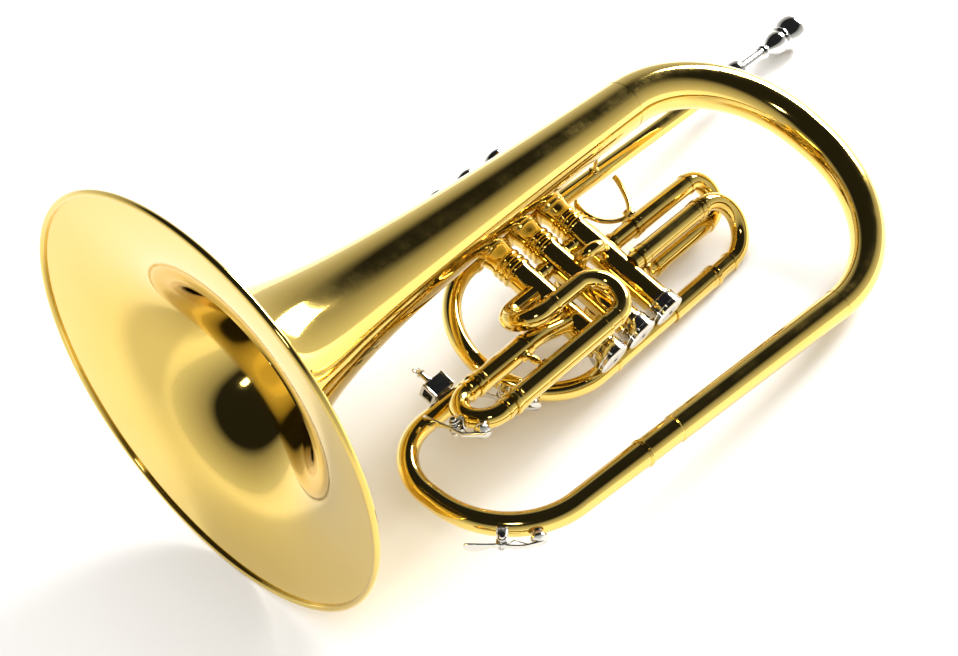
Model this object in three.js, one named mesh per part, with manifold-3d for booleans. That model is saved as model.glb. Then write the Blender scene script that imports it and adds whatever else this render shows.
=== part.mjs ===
// Bell-front three-piston brass horn (marching mellophone pattern), lying on its right side.
// Millimetres. The horn is laid out in its playing frame and then laid down by one group:
//   +X runs from the bell mouth to the player, +Y up towards the finger buttons,
//   +Z to the player's left. The origin is the centre of the bell mouth.
import * as THREE from 'three';
import { mergeVertices } from 'three/addons/utils/BufferGeometryUtils.js';
import Module from 'manifold-3d';

const wasm = await Module();
wasm.setup();

// ---- driving dimensions ----------------------------------------------------------------

const GAP = 0.3;                 // clearance between touching pieces
const SIDES = 10;                // facets round a tube

const BELL = { radius: 133, flareLength: 6.6, flarePower: 0.51, start: 0.5, seam: 64, end: 362,
  wall: 0.9 };
const RIM = { radius: 1.9, sides: 5 };

const TUBE = 6.2;                // outer radius of the plain bore tubes
const LEG = 6.1;                 // outer radius of an inner slide leg
const SLEEVE = 7.0;              // outer radius of a slide sleeve
const SLEEVE_BORE = 6.6;
const COLLAR = 7.7;              // outer radius of the ring at a sleeve's end
const WALL = 0.7;

const VALVE = {
  x: [285.5, 257.4, 229.3],      // first, second and third valve
  z: -34,
  casing: 10, bore: 8.7, piston: 8.3,
  bottom: -110, top: -15,
  capRadius: 11.4, capFloor: -119, capHeight: 12, capWall: 1.3,
  pistonFloor: -92, pistonTop: -27,
  buttonTop: 39, buttonRadius: 9, stem: 2.3,
};

const LEAD = { y: -7, z: -52, bowX: 226, straightX: 248, slope: 0.0112 };
const MAIN = { upper: [-80, -27.7], lower: [-115, -52], bend: 367, sleeveEnd: 362, lowerStart: 299,
  lowerSleeveEnd: 348, leg: 40 };
const FIRST = { upper: [-58.8, -36], lower: [-83.5, -52], bend: 380, slideEnd: 318, legEnd: 373 };
const SECOND = { upper: -58, lower: -84, sleeveEnd: 10, bend: 11, leg: 6 };
const THIRD = { inner: [-78.5, -23], outer: [-104, -10], bend: 133, sleeveEnd: 140, leg: 44 };
const INNER_CROOK = { top: -73.5, z: -10, bend: 237, ring: 205, ringTop: -54.6, ringZ: -30 };

const BOW = { tilt: THREE.MathUtils.degToRad(3), startRadius: 17.4, endRadius: 10.1, growth: 1.1 };
const FRONT_BOW = { tilt: THREE.MathUtils.degToRad(14), y: -73, z: -38, topRadius: 6.1,
  endRadius: 8.3 };
const BRANCH = { slope: THREE.MathUtils.degToRad(4.7), sleeveFrom: 176, sleeveTo: 207,
  endRadius: 8.9, sleeveRadius: 8.3 };
const LYRE = { x: 131, length: 16, width: 10.4, hollow: 7 };

// Pose on the floor: the bell rim, the main tuning slide and the mouthpiece carry the horn.
const LYING = { roll: THREE.MathUtils.degToRad(17.88), pitch: THREE.MathUtils.degToRad(6.8) };

// ---- materials -------------------------------------------------------------------------

const LACQUERED = { color: 0xd9a93f, metalness: 1, roughness: 0.18 };
const NICKEL = { color: 0xc9c8c2, metalness: 1, roughness: 0.2 };
const STEEL = { color: 0x9a9a98, metalness: 1, roughness: 0.3 };

const horn = new THREE.Group();
const table = new THREE.Group();
table.add(horn);

function addPiece(name, geometry, finish, position = [0, 0, 0], rotation = [0, 0, 0]) {
  const mesh = new THREE.Mesh(geometry, new THREE.MeshStandardMaterial(finish));
  mesh.name = name;
  mesh.position.set(...position);
  mesh.rotation.set(...rotation);
  horn.add(mesh);
  return mesh;
}

// ---- shape helpers ---------------------------------------------------------------------

const vec = (x, y, z) => new THREE.Vector3(x, y, z);
const X_AXIS = vec(1, 0, 0);
const ALONG_X = [0, 0, -Math.PI / 2];   // turns a lathed piece's axis from Y to X

class Arc extends THREE.Curve {
  // A circular arc about centre, from angle start to angle end, in the plane of u and v.
  constructor(centre, u, v, radius, start, end) {
    super();
    Object.assign(this, { centre, u, v, radius, start, end });
  }

  getPoint(t, target = new THREE.Vector3()) {
    const angle = this.start + (this.end - this.start) * t;
    return target.copy(this.centre)
      .addScaledVector(this.u, this.radius * Math.cos(angle))
      .addScaledVector(this.v, this.radius * Math.sin(angle));
  }

  getTangent(t, target = new THREE.Vector3()) {
    const angle = this.start + (this.end - this.start) * t;
    const way = Math.sign(this.end - this.start);
    return target.set(0, 0, 0)
      .addScaledVector(this.u, -way * Math.sin(angle))
      .addScaledVector(this.v, way * Math.cos(angle));
  }
}

class Route extends THREE.Curve {
  // Straight and curved stretches in a row: one step for a straight, a few for each bend.
  constructor(...stretches) {
    super();
    this.stretches = stretches;
    this.steps = stretches.reduce((sum, stretch) => sum + stretch.steps, 0);
  }

  locate(t) {
    let step = t * this.steps;
    for (const stretch of this.stretches) {
      if (step <= stretch.steps || stretch === this.stretches.at(-1)) {
        return [stretch.curve, Math.min(step / stretch.steps, 1)];
      }
      step -= stretch.steps;
    }
  }

  getPoint(t, target = new THREE.Vector3()) {
    const [curve, local] = this.locate(t);
    return curve.getPoint(local, target);
  }

  getTangent(t, target = new THREE.Vector3()) {
    const [curve, local] = this.locate(t);
    return curve.getTangent(local, target);
  }

  getUtoTmapping(u) {
    return u;
  }
}

const straight = (from, to) => ({ curve: new THREE.LineCurve3(from, to), steps: 1 });

function bend(centre, u, v, radius, start, end, steps) {
  return { curve: new Arc(centre, u, v, radius, start, end), steps };
}

// A half circle from one point to another that bulges along direction.
function uBend(from, to, direction, steps = 7) {
  const centre = from.clone().add(to).multiplyScalar(0.5);
  const u = from.clone().sub(centre);
  const radius = u.length();
  return bend(centre, u.normalize(), direction, radius, 0, Math.PI, steps);
}

function ringShape(outer, inner) {
  const shape = new THREE.Shape().absarc(0, 0, outer, 0, 2 * Math.PI);
  if (inner > 0) {
    shape.holes.push(new THREE.Path().absarc(0, 0, inner, 0, 2 * Math.PI, true));
  }
  return shape;
}

// A tube along a route. radiusAt gives the outer radius from start (0) to end (1).
function tube(route, radiusAt, wall = WALL, sides = SIDES) {
  const outer = radiusAt(0);
  const geometry = new THREE.ExtrudeGeometry(ringShape(outer, wall ? outer - wall : 0), {
    steps: route.steps, curveSegments: sides / 2, bevelEnabled: false, extrudePath: route,
  });
  const stations = route.getSpacedPoints(route.steps);
  const position = geometry.getAttribute('position');
  const point = new THREE.Vector3();
  for (let i = 0; i < position.count; i += 1) {
    point.fromBufferAttribute(position, i);
    let nearest = 0;
    stations.forEach((station, k) => {
      if (station.distanceTo(point) < stations[nearest].distanceTo(point) - 1e-4) nearest = k;
    });
    const size = radiusAt(nearest / route.steps) / outer;
    point.sub(stations[nearest]).multiplyScalar(size).add(stations[nearest]);
    position.setXYZ(i, point.x, point.y, point.z);
  }
  return geometry;
}

const plainTube = (route, radius, wall = WALL) => tube(route, () => radius, wall);

// A ring-shaped or solid piece turned about the Y axis from [radius, height] points.
function turned(points, segments = 16) {
  return new THREE.LatheGeometry(points.map(([r, h]) => new THREE.Vector2(r, h)), segments);
}

function closed(points) {
  return [...points, points[0]];
}

function toSolid(geometry, matrix = new THREE.Matrix4()) {
  const bare = geometry.clone().applyMatrix4(matrix);
  bare.deleteAttribute('normal');
  bare.deleteAttribute('uv');
  const merged = mergeVertices(bare, 1e-3);
  return new wasm.Manifold(new wasm.Mesh({
    numProp: 3,
    vertProperties: new Float32Array(merged.getAttribute('position').array),
    triVerts: new Uint32Array(merged.index.array),
  }));
}

function toGeometry(solid) {
  const { vertProperties, triVerts } = solid.getMesh();
  const geometry = new THREE.BufferGeometry();
  geometry.setAttribute('position', new THREE.BufferAttribute(vertProperties, 3));
  geometry.setIndex(new THREE.BufferAttribute(triVerts, 1));
  return geometry;
}

function cut(geometry, ...cutters) {
  return toGeometry(cutters.reduce((solid, cutter) => solid.subtract(cutter), toSolid(geometry)));
}

function join(...geometries) {
  const [first, ...rest] = geometries.map((geometry) => toSolid(geometry));
  return toGeometry(rest.reduce((solid, other) => solid.add(other), first));
}

// The space that a valve's casing takes, used to trim the tubes that meet it.
function casingSpace(valve, radius = VALVE.casing + GAP) {
  const height = VALVE.top - VALVE.bottom + 20;
  const at = new THREE.Matrix4().makeTranslation(
    VALVE.x[valve], (VALVE.top + VALVE.bottom) / 2, VALVE.z);
  return toSolid(new THREE.CylinderGeometry(radius, radius, height, 24), at);
}

function block(size, position, rotation = [0, 0, 0]) {
  const matrix = new THREE.Matrix4().makeRotationFromEuler(new THREE.Euler(...rotation));
  matrix.setPosition(...position);
  return new THREE.BoxGeometry(...size).applyMatrix4(matrix);
}

// A round bar from one point to another.
function bar(from, to, radius, sides = 10, endRadius = radius) {
  const way = to.clone().sub(from);
  const geometry = new THREE.CylinderGeometry(endRadius, radius, way.length(), sides);
  const turn = new THREE.Quaternion().setFromUnitVectors(vec(0, 1, 0), way.clone().normalize());
  const middle = from.clone().add(to).multiplyScalar(0.5);
  return geometry.applyMatrix4(new THREE.Matrix4().compose(middle, turn, vec(1, 1, 1)));
}

// ---- bell ------------------------------------------------------------------------------

const flare = (x) => BELL.radius * (1 + x / BELL.flareLength) ** -BELL.flarePower;

function makeBell() {
  const wallBetween = (name, stations, segments) => {
    const outside = stations.map((x) => [flare(x) + BELL.wall / 2, x]);
    const inside = stations.map((x) => [flare(x) - BELL.wall / 2, x]).reverse();
    const shell = turned(closed([...outside, ...inside]), segments);
    addPiece(name, shell, LACQUERED, [0, 0, 0], ALONG_X);
  };
  wallBetween('bell_flare', [BELL.start, 3, 9, 20, 38, BELL.seam], 34);
  wallBetween('bell_stem', [BELL.seam + GAP, 100, 160, 250, BELL.end], 20);

  const centre = flare(BELL.start) + BELL.wall / 2 + RIM.radius + GAP;
  const section = [];
  for (let i = 0; i < RIM.sides; i += 1) {
    const angle = (2 * Math.PI * i) / RIM.sides;
    section.push([centre + RIM.radius * Math.cos(angle), RIM.radius * Math.sin(angle)]);
  }
  addPiece('bell_rim', turned(closed(section), 34), LACQUERED, [0, 0, 0], ALONG_X);
}

// ---- bow, return branch and front bow --------------------------------------------------

// The bow lies in a plane through the bell's axis, tipped a little to the right.
const bowDown = vec(0, -Math.cos(BOW.tilt), -Math.sin(BOW.tilt));
const bowPoint = (x, down) => vec(x, 0, 0).addScaledVector(bowDown, down);
const UPPER_BEND = { x: 367.5, radius: 90 };
const LOWER_BEND = { x: 365.6, down: 99.5, radius: 91.9 };
const lowerTurn = Math.PI / 2 + BRANCH.slope;
const bowEnd = bowPoint(
  LOWER_BEND.x + LOWER_BEND.radius * Math.cos(lowerTurn),
  LOWER_BEND.down + LOWER_BEND.radius * Math.sin(lowerTurn));

// The front bow hangs from the third valve in a plane that swings out to the left.
const frontDown = vec(0, -Math.cos(FRONT_BOW.tilt), Math.sin(FRONT_BOW.tilt));
const frontPoint = (x, down) => vec(x, FRONT_BOW.y, FRONT_BOW.z).addScaledVector(frontDown, down);
const FRONT_TOP = { x: 108.1, radius: 35.7 };
const FRONT_SIDE = { x: 130.1, down: 43.2, radius: 57.7, tubeRadius: 7.3 };
const frontTurn = Math.PI / 2 - BRANCH.slope;
const frontEnd = frontPoint(
  FRONT_SIDE.x - FRONT_SIDE.radius * Math.cos(frontTurn),
  FRONT_SIDE.down + FRONT_SIDE.radius * Math.sin(frontTurn));
const branchAt = (x) => bowEnd.clone().lerp(frontEnd, (bowEnd.x - x) / (bowEnd.x - frontEnd.x));

function makeBow() {
  const route = new Route(
    straight(bowPoint(BELL.end + GAP, 0), bowPoint(UPPER_BEND.x, 0)),
    bend(bowPoint(UPPER_BEND.x, UPPER_BEND.radius), vec(0, 0, 0).sub(bowDown), X_AXIS,
      UPPER_BEND.radius, 0, Math.PI / 2, 6),
    straight(bowPoint(UPPER_BEND.x + UPPER_BEND.radius, UPPER_BEND.radius),
      bowPoint(LOWER_BEND.x + LOWER_BEND.radius, LOWER_BEND.down)),
    bend(bowPoint(LOWER_BEND.x, LOWER_BEND.down), X_AXIS, bowDown,
      LOWER_BEND.radius, 0, lowerTurn, 8),
  );
  const radiusAt = (t) => BOW.startRadius
    + (BOW.endRadius - BOW.startRadius) * t ** BOW.growth;
  addPiece('bow', tube(route, radiusAt, 1), LACQUERED);
}

function makeBranch() {
  const branch = new Route(straight(branchAt(bowEnd.x - GAP), branchAt(BRANCH.sleeveTo + GAP)));
  const taper = BOW.endRadius - BRANCH.endRadius;
  addPiece('return_branch', tube(branch, (t) => BOW.endRadius - taper * t), LACQUERED);

  const sleeve = new Route(straight(branchAt(BRANCH.sleeveTo), branchAt(BRANCH.sleeveFrom)));
  addPiece('branch_sleeve', plainTube(sleeve, BRANCH.sleeveRadius, 1), LACQUERED);

  const top = VALVE.x[2] - VALVE.casing / 2;
  const front = new Route(
    straight(frontPoint(top, 0), frontPoint(FRONT_TOP.x, 0)),
    bend(frontPoint(FRONT_TOP.x, FRONT_TOP.radius), vec(0, 0, 0).sub(frontDown),
      vec(-1, 0, 0), FRONT_TOP.radius, 0, Math.PI / 2, 4),
    straight(frontPoint(FRONT_TOP.x - FRONT_TOP.radius, FRONT_TOP.radius),
      frontPoint(FRONT_SIDE.x - FRONT_SIDE.radius, FRONT_SIDE.down)),
    bend(frontPoint(FRONT_SIDE.x, FRONT_SIDE.down), vec(-1, 0, 0), frontDown,
      FRONT_SIDE.radius, 0, frontTurn, 7),
    straight(frontEnd, branchAt(BRANCH.sleeveFrom - GAP)),
  );
  const { topRadius, endRadius } = FRONT_BOW;
  const radiusAt = (t) => topRadius + (endRadius - topRadius) * t ** 1.4;
  addPiece('front_bow', cut(tube(front, radiusAt), casingSpace(2)), LACQUERED);
}

// ---- mouthpiece and leadpipe -----------------------------------------------------------

// The leadpipe drops a little towards the mouthpiece.
const leadDrop = (x) => LEAD.slope * Math.max(0, x - LEAD.straightX);
const leadPoint = (x) => vec(x, LEAD.y - leadDrop(x), LEAD.z);
const ALONG_LEAD = [0, 0, -Math.PI / 2 - Math.atan(LEAD.slope)];

function makeMouthpiece() {
  const profile = [
    [0, 0], [5.0, 0], [4.3, 46], [5.6, 52], [4.9, 56], [8.2, 66], [11, 80],
    [13.4, 88.5], [13.4, 92], [11, 93.4], [9.2, 92], [6.2, 78], [0, 72.4],
  ];
  const mouthpiece = turned(profile);
  addPiece('mouthpiece', mouthpiece, NICKEL, leadPoint(493), ALONG_LEAD);

  const receiver = [[7.6, -26], [7.6, 14], [8.6, 15], [8.6, 20], [5.45, 20], [5.9, -6],
    [6.6, -6], [6.6, -26]];
  addPiece('mouthpiece_receiver', turned(closed(receiver)), NICKEL, leadPoint(494), ALONG_LEAD);
}

function makeLeadpipe() {
  const pipe = new Route(straight(leadPoint(487), leadPoint(LEAD.straightX)));
  addPiece('leadpipe', plainTube(pipe, TUBE), LACQUERED);

  const [lowerY, lowerZ] = MAIN.lower;
  const turn = new Route(
    straight(leadPoint(LEAD.straightX - GAP), leadPoint(LEAD.bowX)),
    uBend(leadPoint(LEAD.bowX), vec(LEAD.bowX, lowerY, lowerZ), vec(-1, 0, 0), 10),
    straight(vec(LEAD.bowX, lowerY, lowerZ), vec(MAIN.lowerStart, lowerY, lowerZ)),
  );
  addPiece('leadpipe_bow', plainTube(turn, TUBE), LACQUERED);
}

// ---- slides ----------------------------------------------------------------------------

// A sleeve from x = from to x = to with a ring at each end. The mouth is the far end.
function sleeve(from, to) {
  const length = Math.abs(to - from);
  const profile = [
    [SLEEVE_BORE, 0], [COLLAR, 0], [COLLAR, 2.4], [SLEEVE, 3],
    [SLEEVE, length - 3.6], [COLLAR, length - 3], [COLLAR, length], [SLEEVE_BORE, length],
  ];
  return turned(closed(profile), SIDES);
}

// Geometry of a sleeve along X, already in the horn's frame.
function sleeveAlongX(from, to, [y, z]) {
  const turn = from < to ? -Math.PI / 2 : Math.PI / 2;
  const place = new THREE.Matrix4().makeRotationZ(turn).setPosition(from, y, z);
  return sleeve(from, to).applyMatrix4(place);
}

// A U-shaped slide: two legs along X and the bend that joins them.
function slideAlongX(legEnd, bendX, upper, lower, radius = LEG, wall = WALL) {
  const way = vec(Math.sign(bendX - legEnd), 0, 0);
  return plainTube(new Route(
    straight(vec(legEnd, ...upper), vec(bendX, ...upper)),
    uBend(vec(bendX, ...upper), vec(bendX, ...lower), way, 8),
    straight(vec(bendX, ...lower), vec(legEnd, ...lower)),
  ), radius, wall);
}

function makeMainSlide() {
  const start = VALVE.x[0] + 4;
  const upper = sleeveAlongX(start, MAIN.sleeveEnd, MAIN.upper);
  addPiece('main_slide_upper_sleeve', cut(upper, casingSpace(0)), LACQUERED);
  const lower = sleeveAlongX(MAIN.lowerStart + GAP, MAIN.lowerSleeveEnd, MAIN.lower);
  addPiece('main_slide_lower_sleeve', lower, LACQUERED);
  const legEnd = MAIN.sleeveEnd - MAIN.leg;
  addPiece('main_tuning_slide', slideAlongX(legEnd, MAIN.bend, MAIN.upper, MAIN.lower), LACQUERED);
}

// The first slide's outer tubes ride over two fixed legs, so the thumb saddle moves with it.
function makeFirstSlide() {
  const { upper: [upperY, upperZ], lower: [lowerY, lowerZ], bend: bendX, slideEnd, legEnd } = FIRST;
  const startX = VALVE.x[0] + 4;
  const upper = new Route(straight(vec(startX, upperY, upperZ), vec(legEnd, upperY, upperZ)));
  addPiece('first_slide_upper_leg', cut(plainTube(upper, LEG), casingSpace(0)), LACQUERED);

  const valveZ = VALVE.z - 6;
  const elbow = new THREE.CubicBezierCurve3(vec(startX, lowerY, valveZ),
    vec(305, lowerY, valveZ), vec(301, lowerY, lowerZ), vec(316, lowerY, lowerZ));
  const lower = new Route({ curve: elbow, steps: 5 },
    straight(vec(316, lowerY, lowerZ), vec(legEnd, lowerY, lowerZ)));
  addPiece('first_slide_lower_leg', cut(plainTube(lower, LEG), casingSpace(0)), LACQUERED);

  const slide = slideAlongX(slideEnd, bendX, FIRST.upper, FIRST.lower, SLEEVE, SLEEVE - SLEEVE_BORE);
  addPiece('first_slide', slide, LACQUERED);

  // Open U-shaped thumb saddle of bent wire.
  const [foot, saddleZ] = [FIRST.upper[0] + SLEEVE + 1, FIRST.upper[1]];
  const points = [[304, 39], [307, 34], [310, 24], [315, 12], [323, 3.5], [330, 3.2], [337, 9],
    [340, 18], [344, 28], [347, 37]];
  const wire = new THREE.CatmullRomCurve3(points.map(([x, up]) => vec(x, foot + up - 1, saddleZ)));
  const hoop = new THREE.ExtrudeGeometry(ringShape(1.5, 0), {
    steps: 16, curveSegments: 3, bevelEnabled: false, extrudePath: wire,
  });
  const post = bar(vec(326, foot - 0.7, saddleZ), vec(326, foot + 3, saddleZ), 2.2, 8);
  addPiece('thumb_saddle', join(hoop, post), LACQUERED);
}

function makeSecondSlide() {
  const x = VALVE.x[1];
  const out = VALVE.z - VALVE.casing;
  for (const [name, y] of [['upper', SECOND.upper], ['lower', SECOND.lower]]) {
    const place = new THREE.Matrix4().makeRotationX(-Math.PI / 2).setPosition(x, y, out + 6);
    const geometry = cut(sleeve(0, 6 + SECOND.sleeveEnd).applyMatrix4(place), casingSpace(1));
    addPiece(`second_slide_${name}_sleeve`, geometry, LACQUERED);
  }
  const at = (y, z) => vec(x, y, z);
  const bendZ = out - SECOND.bend - 1;
  const legZ = out - SECOND.sleeveEnd + SECOND.leg;
  addPiece('second_slide', plainTube(new Route(
    straight(at(SECOND.upper, legZ), at(SECOND.upper, bendZ)),
    uBend(at(SECOND.upper, bendZ), at(SECOND.lower, bendZ), vec(0, 0, -1), 6),
    straight(at(SECOND.lower, bendZ), at(SECOND.lower, legZ)),
  ), LEG), LACQUERED);
}

function makeThirdCircuit() {
  const { top, z, bend: crookX, ring, ringTop, ringZ } = INNER_CROOK;
  const valveX = VALVE.x[2];
  const back = vec(ring, ringTop, ringZ);
  const front = vec(ring, top, z);
  addPiece('ring_crook', cut(plainTube(new Route(
    straight(vec(valveX - 5, ringTop, ringZ), back),
    uBend(back, front, vec(-1, 0, 0)),
    straight(front, vec(ring + 8, top, z)),
  ), TUBE), casingSpace(2)), LACQUERED);

  const [outerY, outerZ] = THIRD.outer;
  const lowerStart = 226;
  addPiece('inner_crook', plainTube(new Route(
    straight(vec(ring + 8 + GAP, top, z), vec(crookX, top, z)),
    uBend(vec(crookX, top, z), vec(crookX, outerY, outerZ), X_AXIS),
    straight(vec(crookX, outerY, outerZ), vec(lowerStart + GAP, outerY, outerZ)),
  ), TUBE), LACQUERED);
  const lower = sleeveAlongX(lowerStart, THIRD.sleeveEnd, THIRD.outer);
  addPiece('third_slide_lower_sleeve', lower, LACQUERED);

  const [innerY, innerZ] = THIRD.inner;
  const upperStart = 186;
  const upper = sleeveAlongX(upperStart, THIRD.sleeveEnd, THIRD.inner);
  addPiece('third_slide_upper_sleeve', upper, LACQUERED);
  const elbow = new THREE.CubicBezierCurve3(
    vec(upperStart + GAP, innerY, innerZ), vec(upperStart + 20, innerY, innerZ),
    vec(valveX - 20, innerY - 3, innerZ - 5), vec(valveX - 5, innerY - 3, innerZ - 5));
  addPiece('third_valve_elbow', cut(plainTube(new Route({ curve: elbow, steps: 5 }), TUBE),
    casingSpace(2)), LACQUERED);

  const legEnd = THIRD.sleeveEnd + THIRD.leg;
  addPiece('third_slide', slideAlongX(legEnd, THIRD.bend, THIRD.inner, THIRD.outer), LACQUERED);

  // Turned brace across the two sleeves, thickest in the middle.
  const from = vec(178, innerY, innerZ);
  const to = vec(178, outerY, outerZ);
  const way = to.clone().sub(from);
  const reach = way.length() - 2 * (SLEEVE + GAP);
  const waist = turned([[0, -reach / 2], [3.4, -reach / 2], [1.5, -reach / 3], [2.6, 0],
    [1.5, reach / 3], [3.4, reach / 2], [0, reach / 2]], 12);
  const turn = new THREE.Quaternion().setFromUnitVectors(vec(0, 1, 0), way.normalize());
  const brace = addPiece('third_slide_brace', waist, LACQUERED);
  brace.position.copy(from.add(to).multiplyScalar(0.5));
  brace.quaternion.copy(turn);
}

// ---- valves ----------------------------------------------------------------------------

function valveSpring() {
  const { capFloor, capWall, pistonFloor } = VALVE;
  const radius = 5.6;
  const wire = 0.6;
  const turns = 4;
  const from = capFloor + capWall + wire + GAP;
  const to = pistonFloor - wire - GAP;
  const steps = turns * 7;
  const points = [];
  for (let i = 0; i <= steps; i += 1) {
    const angle = (2 * Math.PI * turns * i) / steps;
    points.push(vec(radius * Math.cos(angle), from + ((to - from) * i) / steps,
      radius * Math.sin(angle)));
  }
  return new THREE.ExtrudeGeometry(ringShape(wire, 0), {
    steps, curveSegments: 2, bevelEnabled: false, extrudePath: new THREE.CatmullRomCurve3(points),
  });
}

function makeValve(index) {
  const number = index + 1;
  const place = [VALVE.x[index], 0, VALVE.z];
  const { casing, bore, bottom, top, capRadius, capFloor, capHeight, capWall } = VALVE;

  const wall = [[bore, bottom], [casing, bottom], [casing, top], [bore, top]];
  addPiece(`valve_casing_${number}`, turned(closed(wall), 24), LACQUERED, place);

  const lip = bottom - GAP;
  const floorTop = capFloor + capWall;
  const cap = [
    [1.8, capFloor], [capRadius - 1, capFloor], [capRadius, capFloor + 1],
    [capRadius, capFloor + capHeight - 1], [capRadius - 0.6, capFloor + capHeight],
    [casing + GAP, capFloor + capHeight], [casing + GAP, lip], [bore, lip],
    [bore - 1, floorTop], [1.8, floorTop],
  ];
  addPiece(`bottom_cap_${number}`, turned(closed(cap), 18), NICKEL, place);

  const stemBore = VALVE.stem + GAP;
  const topCap = [
    [casing + GAP, top - 2], [capRadius, top - 2], [capRadius, top + 8], [9, top + 12],
    [5.2, top + 13.5], [5.2, top + 16], [stemBore, top + 16], [stemBore, top + 11.5],
    [bore, top + 7], [bore, top + GAP], [casing + GAP, top + GAP],
  ];
  addPiece(`top_cap_${number}`, turned(closed(topCap), 18), LACQUERED, place);

  const { piston, pistonFloor, pistonTop, stem, buttonTop, buttonRadius } = VALVE;
  const body = turned([[0, pistonFloor], [piston, pistonFloor], [piston, pistonTop],
    [stem + 2, pistonTop], [stem + 2, pistonTop + 4], [0, pistonTop + 4]]);
  const ports = [-43, -58, -74].map((y) => toSolid(bar(vec(-12, y, 3), vec(12, y, -3), 4.6, 8)));
  addPiece(`piston_${number}`, cut(body, ...ports), NICKEL, place);

  const button = turned([
    [0, pistonTop + 4 + GAP], [stem, pistonTop + 4 + GAP], [stem, buttonTop - 7],
    [buttonRadius - 2, buttonTop - 6], [buttonRadius, buttonTop - 4.5],
    [buttonRadius - 0.4, buttonTop - 2.5], [buttonRadius - 3, buttonTop - 0.5], [0, buttonTop],
  ]);
  addPiece(`finger_button_${number}`, button, NICKEL, place);
  addPiece(`valve_spring_${number}`, valveSpring(), STEEL, place);
}

// A short tube between two neighbouring casings.
function makeKnuckle(name, first, second, y) {
  const from = vec(VALVE.x[first], y, VALVE.z);
  const to = vec(VALVE.x[second], y, VALVE.z);
  const route = new Route(straight(from, to));
  const geometry = cut(plainTube(route, 5.2), casingSpace(first), casingSpace(second));
  addPiece(name, geometry, LACQUERED);
}

// The small loop on the left of the second and first casings.
function makeCrossover() {
  const from = vec(VALVE.x[1] + 4, -58, VALVE.z + 7);
  const to = vec(VALVE.x[0] - 6, -62, VALVE.z + 7);
  const loop = new THREE.CubicBezierCurve3(from, vec(from.x + 1, -58, VALVE.z + 21),
    vec(to.x - 1, -62, VALVE.z + 21), to);
  const geometry = cut(plainTube(new Route({ curve: loop, steps: 6 }), 4.6),
    casingSpace(0), casingSpace(1));
  addPiece('crossover_crook', geometry, LACQUERED);
}

// ---- water keys ------------------------------------------------------------------------

// A water key in its own frame: the tube runs along X below it, +Y points away from the
// tube, the pad is at +X and the finger end at -X. On a bent tube the pad sits lower and is
// tipped to face the tube.
function waterKey(surface, { reach, drop, turn }) {
  const pivotY = surface + 4.6;
  const height = drop + 5.8;
  const shift = height * Math.tan(turn);
  const top = height / Math.cos(turn);
  const pad = turned([[0, 2.9], [4.2, 2.9], [4.2, 4.6], [2, 5.4], [2, top], [0, top]], 12)
    .rotateZ(-turn).translate(reach, surface - drop, 0);
  const armLength = reach + shift + 2;
  const arm = block([armLength, 1.6, 3], [armLength / 2, pivotY + 1.4, 0]);
  const finger = block([19, 1.6, 4], [-10, pivotY + 1.5, 0], [0, 0, -0.12]);
  const barrel = bar(vec(0, pivotY, -3.2), vec(0, pivotY, 3.2), 2.4, 12);
  const hole = toSolid(bar(vec(0, pivotY, -6), vec(0, pivotY, 6), 1.25, 12));
  return toGeometry(toSolid(join(arm, finger, barrel, pad)).subtract(hole));
}

function waterKeySaddle(surface, { reach, drop, turn }) {
  const pivotY = surface + 4.6;
  const ears = [-1, 1].map((side) => block([4.4, 6.6, 1.6], [0, surface + 3.6, side * 4.5]));
  const base = block([5, 1.2, 10.6], [0, surface + 0.9, 0]);
  const pin = bar(vec(0, pivotY, -6.4), vec(0, pivotY, 6.4), 0.9, 10);
  const foot = surface - drop;
  const rise = 1.7;
  const railEnd = vec(reach + rise * Math.sin(turn), foot + rise * Math.cos(turn), 0);
  const knee = vec(reach / 2, surface - drop / 4 + rise, 0);
  const rails = [bar(vec(2, surface + 1, 0), knee, 0.7, 6), bar(knee, railEnd, 0.7, 6)];
  const nipple = turned(closed([[1.3, 0], [2.9, 0], [2.5, 2.5], [1.3, 2.5]]), 12)
    .rotateZ(-turn).translate(reach, foot, 0);
  const solid = toSolid(join(base, ears[0], ears[1], pin, ...rails, nipple));
  const bore = bar(vec(0, -1, 0), vec(0, 6, 0), 1.3, 12).rotateZ(-turn).translate(reach, foot, 0);
  return toGeometry(solid.subtract(toSolid(bore)));
}

// Places a water key against a tube: position is on the tube's centre line, along is the
// way from finger end to pad, and out points away from the tube.
function makeWaterKey(number, position, along, out, radius, pad) {
  const side = new THREE.Vector3().crossVectors(along, out).normalize();
  const outward = new THREE.Vector3().crossVectors(side, along).normalize();
  const place = new THREE.Matrix4().makeBasis(along.clone().normalize(), outward, side)
    .setPosition(position);
  const surface = radius + GAP;
  for (const [name, geometry] of [
    [`water_key_${number}`, waterKey(surface, pad)],
    [`water_key_saddle_${number}`, waterKeySaddle(surface, pad)]]) {
    const mesh = addPiece(name, geometry, NICKEL);
    mesh.applyMatrix4(place);
  }
}

// A water key on the outside of an arc. angle says where its saddle stands.
function waterKeyOnArc(number, arc, angle, tubeRadius, padTurn) {
  const t = (angle - arc.start) / (arc.end - arc.start);
  const position = arc.getPoint(t);
  const out = position.clone().sub(arc.centre).normalize();
  const outer = arc.radius + tubeRadius + GAP;
  const reach = outer * Math.sin(padTurn);
  const drop = outer * (1 - Math.cos(padTurn));
  const pad = { reach, drop, turn: padTurn };
  makeWaterKey(number, position, arc.getTangent(t), out, tubeRadius, pad);
}

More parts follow.
